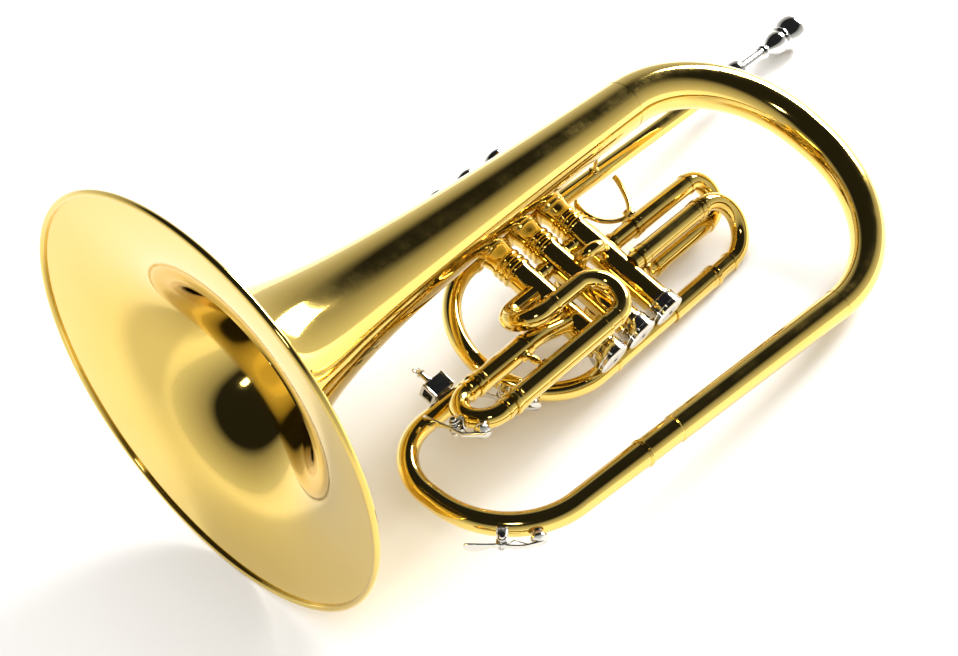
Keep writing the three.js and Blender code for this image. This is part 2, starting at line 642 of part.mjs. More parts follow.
function makeWaterKeys() {
  const degrees = THREE.MathUtils.degToRad;
  const frontSide = new Arc(frontPoint(FRONT_SIDE.x, FRONT_SIDE.down), vec(-1, 0, 0),
    frontDown, FRONT_SIDE.radius, 0, frontTurn);
  waterKeyOnArc(1, frontSide, degrees(39), FRONT_SIDE.tubeRadius, degrees(17));

  const thirdBend = uBend(vec(THIRD.bend, ...THIRD.inner), vec(THIRD.bend, ...THIRD.outer),
    vec(-1, 0, 0)).curve;
  waterKeyOnArc(2, thirdBend, degrees(90), LEG, degrees(40));

  const leadBend = uBend(leadPoint(LEAD.bowX), vec(LEAD.bowX, ...MAIN.lower),
    vec(-1, 0, 0)).curve;
  waterKeyOnArc(3, leadBend, degrees(112), TUBE, degrees(18));
}

// ---- small fittings --------------------------------------------------------------------

// A box with a square tunnel along X, clamped from above by a thumbscrew.
function makeLyreHolder() {
  const { x, length, width, hollow } = LYRE;
  const z = FRONT_BOW.z;
  const floor = FRONT_BOW.y + 7;
  const middle = floor + 0.2 + width / 2;
  const box = toSolid(block([length, width, width], [x, middle, z]));
  const tunnel = toSolid(block([length + 4, hollow, hollow], [x, middle, z]));
  const hole = toSolid(bar(vec(x, middle, z), vec(x, middle + width, z), 2.2, 12));
  addPiece('lyre_holder', toGeometry(box.subtract(tunnel).subtract(hole)), NICKEL);
  const screw = turned([[0, 0], [1.7, 0], [1.7, 11], [3.2, 11.6], [3.4, 13], [3.2, 14.4],
    [0, 15]], 14);
  addPiece('lyre_screw', screw, NICKEL, [x, middle + hollow / 2 - 1.2, z]);
}

// Turned struts between the leadpipe and the bell.
function makeBraces() {
  for (const [name, x] of [['bell_brace', 205], ['bow_brace', 345]]) {
    const pipe = leadPoint(x);
    const way = vec(x, 0, 0).sub(pipe);
    const reach = way.length() - flare(x) - TUBE - 1.6;
    const strut = turned([[0, 0], [3.6, 0], [1.7, 3], [1.7, reach - 3], [3.6, reach],
      [0, reach]], 12);
    way.normalize();
    const brace = addPiece(name, strut, LACQUERED);
    brace.position.copy(pipe.addScaledVector(way, TUBE + 0.5));
    brace.quaternion.setFromUnitVectors(vec(0, 1, 0), way);
  }
}

// ---- assembly --------------------------------------------------------------------------

makeBell();
makeBow();
makeBranch();
makeMouthpiece();
makeLeadpipe();
makeMainSlide();
makeFirstSlide();
makeSecondSlide();
makeThirdCircuit();
[0, 1, 2].forEach(makeValve);
makeKnuckle('upper_knuckle_1_2', 0, 1, -44);
makeKnuckle('upper_knuckle_2_3', 1, 2, -46);
makeCrossover();
makeWaterKeys();
makeLyreHolder();
makeBraces();

// The horn is laid down and moved so that its box stands on the floor, centred on the origin.
horn.rotation.set(LYING.roll, LYING.pitch, 0);
const box = new THREE.Box3().setFromObject(table, true);
horn.position.set(-(box.min.x + box.max.x) / 2, -(box.min.y + box.max.y) / 2, -box.min.z);

export default table;
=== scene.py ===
from math import cos, sin, pi, radians

import bpy
from mathutils import Matrix, Vector


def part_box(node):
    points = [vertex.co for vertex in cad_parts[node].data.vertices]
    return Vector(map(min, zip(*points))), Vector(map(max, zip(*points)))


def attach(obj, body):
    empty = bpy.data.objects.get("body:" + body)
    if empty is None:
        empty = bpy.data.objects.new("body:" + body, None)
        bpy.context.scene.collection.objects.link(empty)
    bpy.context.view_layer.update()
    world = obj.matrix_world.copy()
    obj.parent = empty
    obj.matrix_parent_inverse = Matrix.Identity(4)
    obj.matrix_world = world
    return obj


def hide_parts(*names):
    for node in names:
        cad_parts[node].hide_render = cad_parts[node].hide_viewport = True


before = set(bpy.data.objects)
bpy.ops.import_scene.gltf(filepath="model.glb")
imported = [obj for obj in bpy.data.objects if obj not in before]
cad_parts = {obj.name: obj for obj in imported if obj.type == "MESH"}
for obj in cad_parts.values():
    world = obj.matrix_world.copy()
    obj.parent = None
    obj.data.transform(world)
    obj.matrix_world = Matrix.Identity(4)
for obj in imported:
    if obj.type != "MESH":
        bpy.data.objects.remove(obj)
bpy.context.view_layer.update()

# A bell-front brass horn with three piston valves, lying on its right side.
# Pieces are modelled in millimetres in the horn's playing frame: +X from the bell mouth to the
# player, +Y towards the finger buttons, +Z to the player's left, origin at the bell mouth.
# LAID_DOWN then puts each finished mesh where the frame's horn lies.

ROLL, PITCH = radians(17.88), radians(6.8)
rim_low, rim_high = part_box("bell_rim")
bell_mouth = (Vector(rim_low) + Vector(rim_high)) / 2
HORN_TURN = Matrix.Rotation(ROLL, 4, "X") @ Matrix.Rotation(PITCH, 4, "Y")
LAID_DOWN = Matrix.Translation(bell_mouth) @ HORN_TURN @ Matrix.Scale(0.001, 4)

X, Y, Z = Vector((1, 0, 0)), Vector((0, 1, 0)), Vector((0, 0, 1))


# ---- materials -------------------------------------------------------------------------

def linear(hex_colour):
    channels = [int(hex_colour[i:i + 2], 16) / 255 for i in (1, 3, 5)]
    return [c / 12.92 if c <= 0.04045 else ((c + 0.055) / 1.055) ** 2.4 for c in channels] + [1]


def add_node(tree, kind, settings=None, inputs=None):
    node = tree.nodes.new(kind)
    for key, value in (settings or {}).items():
        setattr(node, key, value)
    for key, value in (inputs or {}).items():
        if isinstance(value, bpy.types.NodeSocket):
            tree.links.new(value, node.inputs[key])
        else:
            node.inputs[key].default_value = value
    return node


def new_material(name, **shader_values):
    material = bpy.data.materials.new(name)
    material.use_nodes = True
    tree = material.node_tree
    shader = tree.nodes["Principled BSDF"]
    for key, value in shader_values.items():
        shader.inputs[key.replace("_", " ")].default_value = value
    coordinates = add_node(tree, "ShaderNodeTexCoord")
    return material, tree, shader, coordinates.outputs["Object"]


def polished_metal(name, colour, second_colour, smooth, dull, wave_height, **shader_values):
    """Buffed metal: two tones that drift over a few centimetres, wiping haze in the gloss and
    the very low waves that polishing leaves, which make long reflections waver."""
    material, tree, shader, place = new_material(name, Metallic=1.0, **shader_values)
    drift = add_node(tree, "ShaderNodeTexNoise", None,
                     {"Vector": place, "Scale": 14.0, "Detail": 3.0})
    tone = add_node(tree, "ShaderNodeMix", {"data_type": "RGBA"},
                    {"Factor": drift.outputs["Fac"], "A": linear(colour),
                     "B": linear(second_colour)})
    tree.links.new(tone.outputs["Result"], shader.inputs["Base Color"])
    haze = add_node(tree, "ShaderNodeTexNoise", None,
                    {"Vector": place, "Scale": 60.0, "Detail": 6.0, "Roughness": 0.7})
    gloss = add_node(tree, "ShaderNodeMapRange", None,
                     {"Value": haze.outputs["Fac"], "From Min": 0.35, "From Max": 0.75,
                      "To Min": smooth, "To Max": dull})
    tree.links.new(gloss.outputs["Result"], shader.inputs["Roughness"])
    waves = add_node(tree, "ShaderNodeTexNoise", None,
                     {"Vector": place, "Scale": 90.0, "Detail": 2.0})
    bump = add_node(tree, "ShaderNodeBump", None,
                    {"Height": waves.outputs["Fac"], "Strength": 1.0, "Distance": wave_height})
    tree.links.new(bump.outputs["Normal"], shader.inputs["Normal"])
    return material


# Yellow brass, buffed and clear lacquered: a deep gold mirror with a thin glassy coat.
lacquered_brass = polished_metal("lacquered_yellow_brass", "#E8CC72", "#DDBB5A",
                                 0.05, 0.12, 0.000012, Coat_Weight=0.3, Coat_Roughness=0.04)
# The same brass on small turned fittings, whose tool marks make them a little softer.
turned_brass = polished_metal("turned_brass_fittings", "#E4C468", "#D2AC4C",
                              0.10, 0.2, 0.00002, Coat_Weight=0.25, Coat_Roughness=0.08)
# Bright nickel plate: a slightly warm grey mirror.
nickel_plate = polished_metal("bright_nickel_plate", "#DAD8D2", "#C9C6BF", 0.06, 0.16, 0.000015)
# Silver plate on the mouthpiece: whiter and smoother than nickel.
silver_plate = polished_metal("silver_plate", "#ECEAE6", "#DEDCD8", 0.04, 0.1, 0.000008)
# Hard-drawn spring wire, hidden in the casings.
spring_wire = polished_metal("drawn_spring_wire", "#9C9C9A", "#858583", 0.25, 0.4, 0.00002)


def pad_material():
    """Natural cork, cut into a disc: warm brown with darker grains a millimetre across."""
    material, tree, shader, place = new_material("cut_cork", Roughness=0.85)
    grains = add_node(tree, "ShaderNodeTexVoronoi", None, {"Vector": place, "Scale": 900.0})
    tone = add_node(tree, "ShaderNodeMix", {"data_type": "RGBA"},
                    {"Factor": grains.outputs["Distance"], "A": linear("#6B4A2C"),
                     "B": linear("#B98C5B")})
    tree.links.new(tone.outputs["Result"], shader.inputs["Base Color"])
    return material


cork = pad_material()


# ---- modelling helpers -----------------------------------------------------------------

def deselect():
    bpy.ops.object.select_all(action="DESELECT")


def select_only(*pieces):
    deselect()
    for piece in pieces:
        piece.select_set(True)
    bpy.context.view_layer.objects.active = pieces[0]


def edit(piece, *steps):
    """Runs edit-mode operators, each given as (operator, settings), on the whole piece."""
    select_only(piece)
    bpy.ops.object.mode_set(mode="EDIT")
    bpy.ops.mesh.select_all(action="SELECT")
    for operator, settings in steps:
        operator(**settings)
    bpy.ops.object.mode_set(mode="OBJECT")
    return piece


def shade(piece, sharp=35):
    select_only(piece)
    bpy.ops.object.shade_smooth_by_angle(angle=radians(sharp))
    return piece


def axis_frame(at, along, up=None):
    """A matrix whose Z runs along, with its origin at a point."""
    z = Vector(along).normalized()
    hint = Vector(up) if up else (Y if abs(z.y) < 0.9 else X)
    x = hint.cross(z).normalized()
    y = z.cross(x)
    return Matrix.Translation(Vector(at)) @ Matrix((x, y, z)).transposed().to_4x4()


def turned(outline, steps=48, at=(0, 0, 0), along=Z, up=None):
    """One corner is drawn out along (radius, height) points and spun once round the axis."""
    deselect()
    bpy.ops.mesh.primitive_plane_add(size=1)
    piece = bpy.context.object
    bpy.ops.object.mode_set(mode="EDIT")
    bpy.ops.mesh.select_all(action="SELECT")
    bpy.ops.mesh.merge(type="CENTER")
    bpy.ops.transform.translate(value=(outline[0][0], 0, outline[0][1]))
    for (r0, h0), (r1, h1) in zip(outline, outline[1:]):
        bpy.ops.mesh.extrude_vertices_move(
            TRANSFORM_OT_translate={"value": (r1 - r0, 0, h1 - h0)})
    bpy.ops.mesh.select_all(action="SELECT")
    bpy.ops.mesh.spin(steps=steps, angle=2 * pi, center=(0, 0, 0), axis=(0, 0, 1))
    bpy.ops.mesh.select_all(action="SELECT")
    bpy.ops.mesh.remove_doubles(threshold=0.002)
    bpy.ops.mesh.normals_make_consistent(inside=False)
    bpy.ops.object.mode_set(mode="OBJECT")
    piece.data.transform(axis_frame(at, along, up))
    return shade(piece)


def closed(outline):
    return list(outline) + [outline[0]]


def pipe(path, radius, sides=32):
    """A round tube along a line of points. radius is one number or one for each point."""
    deselect()
    bpy.ops.curve.primitive_bezier_curve_add()
    piece = bpy.context.object
    curve = piece.data
    curve.splines.clear()
    spline = curve.splines.new("POLY")
    spline.points.add(len(path) - 1)
    for i, (point, place) in enumerate(zip(spline.points, path)):
        point.co = (*place, 1)
        point.radius = radius[i] if hasattr(radius, "__len__") else radius
    curve.dimensions = "3D"
    curve.twist_mode = "MINIMUM"
    curve.bevel_depth = 1
    curve.bevel_resolution = (sides - 4) // 2
    curve.use_fill_caps = True
    bpy.ops.object.convert(target="MESH")
    piece = bpy.context.object
    edit(piece, (bpy.ops.mesh.remove_doubles, {"threshold": 0.002}),
         (bpy.ops.mesh.normals_make_consistent, {"inside": False}))
    return shade(piece, 50)


def joined(*pieces):
    select_only(*pieces)
    bpy.ops.object.join()
    return bpy.context.object


def placed(name, piece, body, slot, material, *nodes):
    """Names a piece, lays it down with the horn and ties it to its body and CAD nodes."""
    piece.name = name
    piece.data.name = name
    piece.data.transform(LAID_DOWN)
    piece.matrix_world = Matrix.Identity(4)
    if not piece.data.materials:
        piece.data.materials.append(material)
    else:
        piece.data.materials[0] = material
    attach(piece, body)
    if nodes:
        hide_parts(*nodes)
    return piece


BRASS, NICKEL = "lacquered_brass", "nickel"


def brass(name, piece, body, *nodes):
    return placed(name, piece, body, BRASS, lacquered_brass, *nodes)


def nickel(name, piece, body, *nodes):
    return placed(name, piece, body, NICKEL, nickel_plate, *nodes)


# ---- routes ----------------------------------------------------------------------------

def line(a, b, count=2):
    a, b = Vector(a), Vector(b)
    return [a.lerp(b, i / (count - 1)) for i in range(count)]


def arc(centre, u, v, radius, start, end, count=32):
    angles = [start + (end - start) * i / (count - 1) for i in range(count)]
    return [centre + u * (radius * cos(a)) + v * (radius * sin(a)) for a in angles]


def half_turn(a, b, direction, count=36):
    a, b = Vector(a), Vector(b)
    centre = (a + b) / 2
    out = a - centre
    return arc(centre, out.normalized(), direction, out.length, 0, pi, count)


def run(*stretches):
    """Joins stretches into one line and drops points that fall together."""
    points = []
    for stretch in stretches:
        for point in stretch:
            if not points or (points[-1] - point).length > 0.05:
                points.append(point)
    return points


def smooth_curve(p0, p1, p2, p3, count=20):
    p0, p1, p2, p3 = map(Vector, (p0, p1, p2, p3))
    points = []
    for i in range(count):
        t = i / (count - 1)
        s = 1 - t
        points.append(p0 * s**3 + p1 * (3 * s * s * t) + p2 * (3 * s * t * t) + p3 * t**3)
    return points


def spline_through(points, count=8):
    """A smooth line through given points (Catmull-Rom)."""
    points = [Vector(p) for p in points]
    ends = [points[0] * 2 - points[1]] + points + [points[-1] * 2 - points[-2]]
    line_points = []
    for a, b, c, d in zip(ends, ends[1:], ends[2:], ends[3:]):
        for i in range(count):
            t = i / count
            line_points.append(0.5 * (2 * b + (c - a) * t + (2 * a - 5 * b + 4 * c - d) * t * t
                                      + (3 * b - a - 3 * c + d) * t**3))
    return line_points + [points[-1]]


def lengths(path):
    """How far along a line each of its points is, from 0 to 1."""
    total = [0.0]
    for a, b in zip(path, path[1:]):
        total.append(total[-1] + (b - a).length)
    return [value / total[-1] for value in total]


# ---- driving dimensions, the frame's own -----------------------------------------------

# Outer radii of the plain tube, an inner slide leg, a sleeve and the ring at its mouth.
TUBE, LEG, SLEEVE, COLLAR = 6.2, 6.1, 7.0, 7.7
SLEEVE_BORE = 6.3

# The leadpipe runs straight back, then falls slightly, and turns under at LEAD_BEND.
LEAD_Y, LEAD_Z, LEAD_STRAIGHT, LEAD_SLOPE = -7, -52, 248, 0.0112
LEAD_BEND, LEAD_END = 226, 299

VALVE_X, VALVE_Z = (285.5, 257.4, 229.3), -34

# Each slide leg is a (Y, Z) place; the bends are X places.
MAIN_UPPER, MAIN_LOWER, MAIN_BEND = (-80, -27.7), (-115, -52), 367
FIRST_UPPER, FIRST_LOWER, FIRST_BEND = (-58.8, -36), (-83.5, -52), 380
FIRST_LEG_START, FIRST_LEG_END = 289.5, 373
SECOND_UPPER_Y, SECOND_LOWER_Y = -58, -84
THIRD_INNER, THIRD_OUTER, THIRD_BEND = (-78.5, -23), (-104, -10), 133
THIRD_MOUTH, INNER_CROOK_BEND = 140, 237
CROOK_JOINT = (213.2, -73.5, -10)

BELL_RADIUS, FLARE_LENGTH, FLARE_POWER = 133, 6.6, -0.51
BELL_START, BELL_END, WALL = 0.5, 362.2, 0.9


def flare(x):
    return BELL_RADIUS * (1 + x / FLARE_LENGTH) ** FLARE_POWER


# ---- bell ------------------------------------------------------------------------------

def make_bell():
    # Stations crowd towards the mouth, where the flare opens fastest.
    count = 70
    stations = [BELL_START + (BELL_END - BELL_START) * (i / (count - 1)) ** 2.6
                for i in range(count)]
    outside = [(flare(x) + WALL / 2, x) for x in stations]
    inside = [(flare(x) - WALL / 2, x) for x in reversed(stations)]
    bell = turned(closed(outside + inside), 160, (0, 0, 0), X)
    brass("bell", bell, "horn", "bell_flare", "bell_stem")

    # The rim is rolled over a wire, so its bead stands on the outside of the flare.
    centre, bead = flare(BELL_START) + 2.35, 2.0
    section = [(centre + bead * cos(2 * pi * i / 16), bead * sin(2 * pi * i / 16))
               for i in range(16)]
    rim = turned(closed(section), 160, (0, 0, 0), X)
    brass("bell_rolled_rim", rim, "horn", "bell_rim")


# ---- rings and sleeves -----------------------------------------------------------------

def ring(at, along, bore, outer, width, steps=40):
    """A small ferrule ring with rounded shoulders, centred on a point of its axis."""
    half, round_off = width / 2, min(0.35, width / 4)
    return turned(closed([(bore, -half), (outer - round_off, -half), (outer, -half + round_off),
                          (outer, half - round_off), (outer - round_off, half),
                          (bore, half)]), steps, at, along)


def sleeve(a, b):
    """A slide sleeve from a to b: a plain tube with a stepped double ring at its mouth, b."""
    radius, bore, mouth = SLEEVE, SLEEVE_BORE, COLLAR
    a, b = Vector(a), Vector(b)
    length = (b - a).length
    tube = [(bore, 0), (radius + 0.35, 0), (radius + 0.35, 1.8), (radius, 2.1),
            (radius, length - 7.6), (mouth - 0.35, length - 7.2), (mouth - 0.35, length - 6.2),
            (radius, length - 5.9), (radius, length - 3.4), (mouth - 0.1, length - 3.2),
            (mouth, length - 2.6), (mouth, length - 0.5), (mouth - 0.4, length),
            (bore, length)]
    return turned(closed(tube), 40, a, b - a)


def flat(x, leg):
    return Vector((x, leg[0], leg[1]))


# ---- bow, return branch and front bow --------------------------------------------------

BOW_TILT, FRONT_TILT, SLOPE = radians(3), radians(14), radians(4.7)
BOW_DOWN = Vector((0, -cos(BOW_TILT), -sin(BOW_TILT)))
FRONT_DOWN = Vector((0, -cos(FRONT_TILT), sin(FRONT_TILT)))
FRONT_Y, FRONT_Z, FRONT_START = -73, -38, 226


def bow_point(x, down):
    return Vector((x, 0, 0)) + BOW_DOWN * down


def front_point(x, down):
    return Vector((x, FRONT_Y, FRONT_Z)) + FRONT_DOWN * down


UPPER_X, UPPER_RADIUS = 367.5, 90
LOWER_X, LOWER_DOWN, LOWER_RADIUS = 365.6, 99.5, 91.9
FRONT_TOP_X, FRONT_TOP_RADIUS = 108.1, 35.7
FRONT_SIDE_X, FRONT_SIDE_DOWN, FRONT_SIDE_RADIUS = 130.1, 43.2, 57.7
SLEEVE_LOW, SLEEVE_HIGH = 176, 207

# Outer radii, which grow smoothly from the valves to the bell.
BOW_RADIUS, BOW_TAPER, BOW_TAPER_POWER = 17.4, 7.3, 1.1
BRANCH_RADIUS, BRANCH_TAPER = 10.1, 1.2
FRONT_RADIUS, FRONT_GROWTH, FRONT_GROWTH_POWER = 6.1, 2.2, 2.3

BOW_PATH = run(
    line(bow_point(BELL_END, 0), bow_point(UPPER_X, 0), 4),
    arc(bow_point(UPPER_X, UPPER_RADIUS), -BOW_DOWN, X, UPPER_RADIUS, 0, pi / 2, 44),
    line(bow_point(UPPER_X + UPPER_RADIUS, UPPER_RADIUS),
         bow_point(LOWER_X + LOWER_RADIUS, LOWER_DOWN), 4),
    arc(bow_point(LOWER_X, LOWER_DOWN), X, BOW_DOWN, LOWER_RADIUS, 0, pi / 2 + SLOPE, 48))
BOW_END = BOW_PATH[-1]
FRONT_ARC = arc(front_point(FRONT_SIDE_X, FRONT_SIDE_DOWN), -X, FRONT_DOWN,
                FRONT_SIDE_RADIUS, 0, pi / 2 - SLOPE, 46)
FRONT_END = FRONT_ARC[-1]


def branch_at(x):
    return BOW_END.lerp(FRONT_END, (BOW_END.x - x) / (BOW_END.x - FRONT_END.x))


def make_bow():
    radii = [BOW_RADIUS - BOW_TAPER * t ** BOW_TAPER_POWER for t in lengths(BOW_PATH)]
    seam = ring(bow_point(BELL_END, 0), X, 16.8, 17.75, 1.1, 72)
    brass("large_bow", joined(pipe(BOW_PATH, radii, 60), seam), "horn", "bow")

    branch = line(BOW_END, branch_at(SLEEVE_HIGH - 2), 12)
    radii = [BRANCH_RADIUS - BRANCH_TAPER * t for t in lengths(branch)]
    seam = ring(BOW_END, BOW_END - branch_at(180), 9.6, 10.4, 1.1)
    brass("return_tube", joined(pipe(branch, radii, 40), seam), "horn", "return_branch")

    low, high = branch_at(SLEEVE_LOW), branch_at(SLEEVE_HIGH)
    length = (high - low).length
    end = [(8.3, 2.9), (8.85, 2.5), (8.9, 1.9), (8.55, 1.5), (8.9, 1.1), (8.85, 0.4), (8.5, 0)]
    shell = turned(closed([(7.2, 0)] + end[::-1] + [(r, length - h) for r, h in end]
                          + [(7.2, length)]), 56, low, high - low)
    brass("return_tube_sleeve", shell, "horn", "branch_sleeve")

    front = run(line(front_point(FRONT_START, 0), front_point(FRONT_TOP_X, 0), 12),
                arc(front_point(FRONT_TOP_X, FRONT_TOP_RADIUS), -FRONT_DOWN, -X,
                    FRONT_TOP_RADIUS, 0, pi / 2, 26),
                FRONT_ARC, line(FRONT_END, branch_at(SLEEVE_LOW + 1), 8))
    radii = [FRONT_RADIUS + FRONT_GROWTH * t ** FRONT_GROWTH_POWER for t in lengths(front)]
    brass("front_bow_tube", pipe(front, radii, 40), "horn", "front_bow")


# ---- mouthpiece and leadpipe -----------------------------------------------------------

def lead(x):
    return Vector((x, LEAD_Y - LEAD_SLOPE * max(0, x - LEAD_STRAIGHT), LEAD_Z))


LEAD_WAY = Vector((1, -LEAD_SLOPE, 0))


def make_mouthpiece():
    outline = [
        (0, 0), (4.9, 0), (4.75, 16), (4.3, 44), (4.3, 48.5), (5.0, 49.2), (5.0, 50.2),
        (4.4, 50.8), (5.3, 52), (5.6, 53), (5.3, 54), (4.4, 55.2), (4.3, 57), (4.9, 59.5),
        (6.6, 62.5), (8.2, 66), (9.0, 70), (8.9, 72.6), (8.4, 74), (8.8, 75.2), (9.9, 76.2),
        (9.9, 77.2), (9.3, 77.8), (10.0, 79.2), (11.4, 81.6), (12.5, 84.2), (13.0, 86.6),
        (13.3, 88.6), (13.35, 90.2), (13.0, 91.8), (12.1, 92.8), (10.9, 93.1), (9.7, 92.5),
        (9.1, 91), (8.6, 87), (7.4, 82), (5.4, 77.4), (3.2, 74), (2.0, 71.5), (0, 71.5)]
    piece = turned(outline, 64, lead(493), LEAD_WAY)
    placed("mouthpiece_turned", piece, "mouthpiece", NICKEL, silver_plate, "mouthpiece")

    length = 46
    receiver = turned(closed([
        (6.3, 0), (7.2, 0), (7.6, 0.6), (7.6, 2.4), (7.1, 3), (7.1, 34), (7.6, 34.5),
        (7.6, 36), (7.3, 36.5), (7.8, 38), (8.5, 40.5), (8.6, 43), (8.5, 45.4), (8.0, length),
        (5.3, length), (5.7, 20), (6.3, 20)]), 48, lead(468), LEAD_WAY)
    nickel("mouthpiece_socket", receiver, "horn", "mouthpiece_receiver")


def make_leadpipe():
    brass("leadpipe_tube", pipe(line(lead(487), lead(247.9), 8), TUBE), "horn", "leadpipe")
    path = run(line(lead(LEAD_STRAIGHT), lead(LEAD_BEND), 3),
               half_turn(lead(LEAD_BEND), flat(LEAD_BEND, MAIN_LOWER), -X, 64),
               line(flat(LEAD_BEND, MAIN_LOWER), flat(LEAD_END, MAIN_LOWER), 6))
    tube = pipe(path, TUBE)
    rings = [ring(at, X, 6, 6.8, 3) for at in (lead(LEAD_BEND), flat(240, MAIN_LOWER))]
    brass("leadpipe_arc", joined(tube, *rings), "horn", "leadpipe_bow")


# ---- slides ----------------------------------------------------------------------------

def u_slide(leg_end, bend_x, upper, lower, radius=LEG, crook=TUBE):
    """Two legs and the bend that joins them, with a ring where each leg meets the bend."""
    way = X if bend_x > leg_end else -X
    path = run(line(flat(leg_end, upper), flat(bend_x, upper), 6),
               half_turn(flat(bend_x, upper), flat(bend_x, lower), way, 40),
               line(flat(bend_x, lower), flat(leg_end, lower), 6))
    tube = pipe(path, radius)
    inside = bend_x - way.x * 1.6
    rings = [ring(flat(inside, leg), way, radius - 0.3, max(radius, crook) + 0.6, 2.2)
             for leg in (upper, lower)]
    return joined(tube, *rings)


def make_main_slide():
    upper = sleeve(flat(296, MAIN_UPPER), flat(362, MAIN_UPPER))
    stub = pipe(line(flat(289, MAIN_UPPER), flat(299, MAIN_UPPER)), TUBE)
    beads = [ring(flat(x, MAIN_UPPER), X, 6, 7.4, 2.4) for x in (298.5, 303)]
    brass("main_slide_upper_tube", joined(upper, stub, *beads), "horn",
          "main_slide_upper_sleeve")
    lower = sleeve(flat(299.2, MAIN_LOWER), flat(348, MAIN_LOWER))
    brass("main_slide_lower_tube", lower, "horn", "main_slide_lower_sleeve")
    brass("main_slide_crook", u_slide(322, MAIN_BEND, MAIN_UPPER, MAIN_LOWER),
          "main_tuning_slide", "main_tuning_slide")


def make_first_slide():
    y, z = FIRST_LOWER
    upper = joined(pipe(line(flat(FIRST_LEG_START, FIRST_UPPER),
                             flat(FIRST_LEG_END, FIRST_UPPER)), LEG),
                   ring(flat(298, FIRST_UPPER), X, 6, 7.1, 3))
    brass("first_slide_upper_inner_tube", upper, "horn", "first_slide_upper_leg")
    elbow = smooth_curve((FIRST_LEG_START, y, -40), (305, y, -40), (301, y, z), (316, y, z))
    lower = pipe(run(elbow, line((316, y, z), (FIRST_LEG_END, y, z), 4)), LEG)
    brass("first_slide_lower_inner_tube", lower, "horn", "first_slide_lower_leg")

    slide = u_slide(318, FIRST_BEND, FIRST_UPPER, FIRST_LOWER, SLEEVE, SLEEVE)
    mouths = [ring(flat(x, leg), X, 6.6, size, 2) for leg in (FIRST_UPPER, FIRST_LOWER)
              for x, size in ((319.2, 7.7), (324, 7.4))]
    brass("first_slide_outer_tubes", joined(slide, *mouths), "first_slide", "first_slide")

    foot = FIRST_UPPER[0] + SLEEVE + 1
    points = [(306, 30.5), (303.5, 28), (302.6, 22), (304, 15), (308, 8.5), (315, 3.4),
              (323, 1.4), (330, 4.4), (335, 10), (339, 17), (342.5, 25), (343.2, 28.5)]
    wire = spline_through([(x, foot + up - 1, FIRST_UPPER[1]) for x, up in points])
    hook = pipe(wire, [1.75 + 0.25 * cos(2 * pi * t) for t in lengths(wire)], 20)
    seat = turned([(0, -1.2), (4.4, -1.2), (4.6, 0), (3.2, 1.2), (2.4, 2.6), (2.2, 4.2),
                   (0, 4.6)], 28, (326, foot - 0.4, FIRST_UPPER[1]), Y)
    placed("thumb_hook", joined(hook, seat), "first_slide", BRASS, turned_brass,
           "thumb_saddle")


def make_second_slide():
    x, z = VALVE_X[1], VALVE_Z
    for name, y in (("upper", SECOND_UPPER_Y), ("lower", SECOND_LOWER_Y)):
        shell = sleeve((x, y, z - 8.5), (x, y, z - 20))
        brass(f"second_slide_{name}_tube", shell, "horn", f"second_slide_{name}_sleeve")
    leg_end, bend = z - 14, z - 22
    path = run(line((x, SECOND_UPPER_Y, leg_end), (x, SECOND_UPPER_Y, bend), 3),
               half_turn((x, SECOND_UPPER_Y, bend), (x, SECOND_LOWER_Y, bend), -Z, 32),
               line((x, SECOND_LOWER_Y, bend), (x, SECOND_LOWER_Y, leg_end), 3))
    brass("second_slide_crook", pipe(path, LEG), "second_slide", "second_slide")


def make_third_slide():
    x = VALVE_X[2]
    back, front = (205, -54.6, -30), (205, -73.5, -10)
    ring_tube = pipe(run(line((x - 7, -54.6, -30), back, 4), half_turn(back, front, -X, 40),
                         line(front, CROOK_JOINT, 3)), TUBE)
    bead = ring((212, -73.5, -10), X, 6, 6.9, 2.4)
    brass("ring_crook_tube", joined(ring_tube, bead), "horn", "ring_crook")

    bend_top = (INNER_CROOK_BEND, *CROOK_JOINT[1:])
    bend_low = flat(INNER_CROOK_BEND, THIRD_OUTER)
    crook = pipe(run(line(CROOK_JOINT, bend_top, 4), half_turn(bend_top, bend_low, X, 40),
                     line(bend_low, flat(226, THIRD_OUTER), 3)), TUBE)
    bead = ring(flat(INNER_CROOK_BEND - 1, THIRD_OUTER), X, 6, 6.8, 1.6)
    brass("third_inner_crook_tube", joined(crook, bead), "horn", "inner_crook")

    lower = sleeve(flat(226, THIRD_OUTER), flat(THIRD_MOUTH, THIRD_OUTER))
    brass("third_slide_lower_tube", lower, "horn", "third_slide_lower_sleeve")
    upper = sleeve(flat(186, THIRD_INNER), flat(THIRD_MOUTH, THIRD_INNER))
    brass("third_slide_upper_tube", upper, "horn", "third_slide_upper_sleeve")
    y, z = THIRD_INNER
    elbow = smooth_curve((186.2, y, z), (206, y, z), (x - 20, y - 3, z - 5),
                         (x - 7, y - 3, z - 5))
    brass("third_valve_elbow_tube", pipe(elbow, TUBE), "horn", "third_valve_elbow")
    brass("third_slide_crook", u_slide(184, THIRD_BEND, THIRD_INNER, THIRD_OUTER),
          "third_slide", "third_slide")

    a, b = flat(178, THIRD_INNER), flat(178, THIRD_OUTER)
    placed("third_slide_brace_turned", strut(a, b, SLEEVE, SLEEVE), "horn", BRASS, turned_brass,
           "third_slide_brace")


